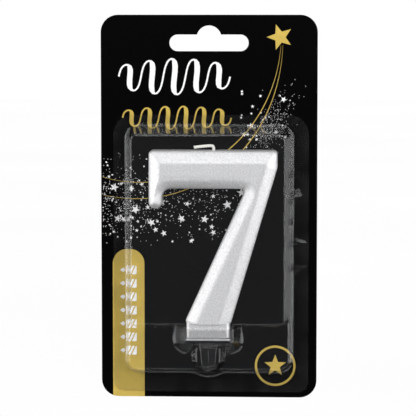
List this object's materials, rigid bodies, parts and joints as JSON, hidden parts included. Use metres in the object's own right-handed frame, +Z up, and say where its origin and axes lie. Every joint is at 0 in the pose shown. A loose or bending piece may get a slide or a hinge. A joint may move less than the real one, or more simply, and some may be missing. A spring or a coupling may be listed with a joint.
{
  "type": "number birthday candle",
  "caption": "Silver number candle with a wick and clear cake holder, in a clear hinged blister on a black hanging card with gold and white decoration.",
  "frame": {"origin": "centre of the hang slot, on the printed face of the card", "axes": "+Z up the card, +X to the right as the buyer sees it, -Y out of the front of the pack"},
  "size_m": [0.0876, 0.0145, 0.1555],
  "materials": {
    "black_card": "satin",
    "seal_lacquer": "gloss",
    "gold_foil": "satin",
    "white_ink": "satin",
    "clear_pet": "gloss",
    "silver_wax": "satin",
    "cotton_wick": "matte",
    "clear_styrene": "gloss"
  },
  "bodies": {
    "card": {"backing_card": "black_card", "heat_seal": "seal_lacquer", "gold_side_band": "gold_foil", "band_pictograms": "white_ink", "gold_star": "gold_foil", "gold_trails": "gold_foil", "gold_badge": "gold_foil", "gold_streamer": "gold_foil", "white_streamer": "white_ink", "white_stars": "white_ink"},
    "blister": {"blister_shell": "clear_pet"},
    "candle": {"wax_digit": "silver_wax", "wick_core": "cotton_wick"},
    "wick_end": {"wick_tip": "cotton_wick"},
    "cake_holder": {"holder": "clear_styrene"}
  },
  "joints": [
    {"name": "blister_peel", "type": "hinge", "parent": "card", "child": "blister", "pos_m": [-0.0388, -0.00041, -0.0855], "axis": [0, 0, -1], "range_deg": [0, 95]},
    {"name": "candle_lift_out", "type": "slide", "parent": "card", "child": "candle", "axis": [0, -1, 0], "range_m": [0, 0.0235]},
    {"name": "holder_pull_off", "type": "slide", "parent": "candle", "child": "cake_holder", "axis": [0, 0, -1], "range_m": [0, 0.0061]},
    {"name": "wick_straighten", "type": "hinge", "parent": "candle", "child": "wick_end", "pos_m": [0.0022, -0.0065, -0.0411], "axis": [0, 1, 0], "range_deg": [0, 91]}
  ],
  "couplings": [
    {"joint": "candle_lift_out", "follows": "blister_peel", "m_per_rad": 0.014},
    {"joint": "holder_pull_off", "follows": "blister_peel", "m_per_rad": 0.0036},
    {"joint": "wick_straighten", "follows": "blister_peel", "ratio": 0.947}
  ]
}
